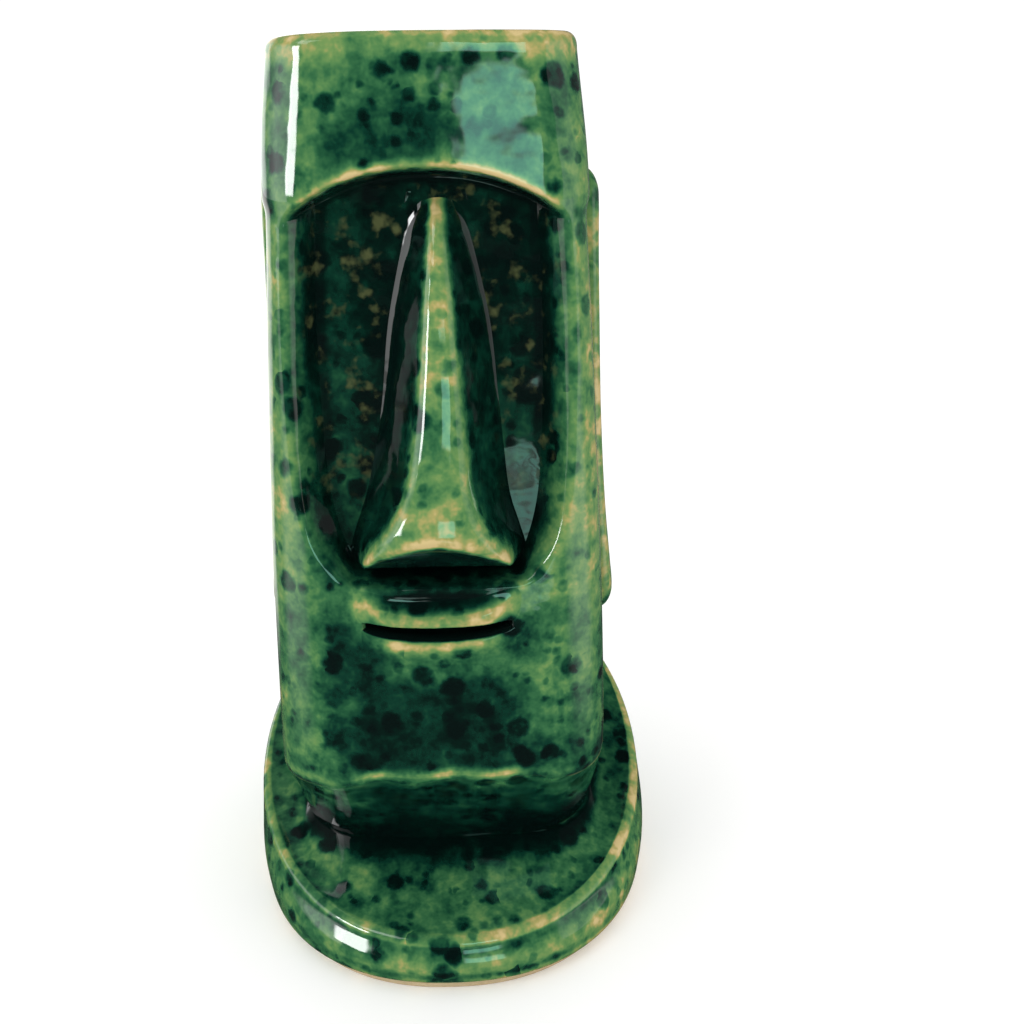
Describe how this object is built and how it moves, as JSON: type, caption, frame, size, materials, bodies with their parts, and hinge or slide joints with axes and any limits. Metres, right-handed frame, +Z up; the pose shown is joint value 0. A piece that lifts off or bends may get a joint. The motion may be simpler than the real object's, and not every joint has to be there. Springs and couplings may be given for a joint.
{
  "type": "tiki mug",
  "caption": "Tall glazed ceramic cup shaped as a stone head with long nose, lips and ears, standing on a sloping oval plinth.",
  "frame": {"origin": "centre of the footprint, on the surface the mug stands on", "axes": "+Z up through the open mouth, -Y the way the face looks, +X to the right of someone looking at the face"},
  "size_m": [0.0912, 0.1036, 0.18],
  "materials": {
    "glaze": "clear glossy mottled green glaze, breaking to tan on edges",
    "bare_clay": "unglazed, matt"
  },
  "bodies": {
    "root": {"head_cup": "glaze", "plinth": "glaze", "foot_ring": "bare_clay", "nose": "glaze", "upper_lip": "glaze", "lower_lip": "glaze", "left_ear": "glaze", "right_ear": "glaze"}
  },
  "joints": []
}
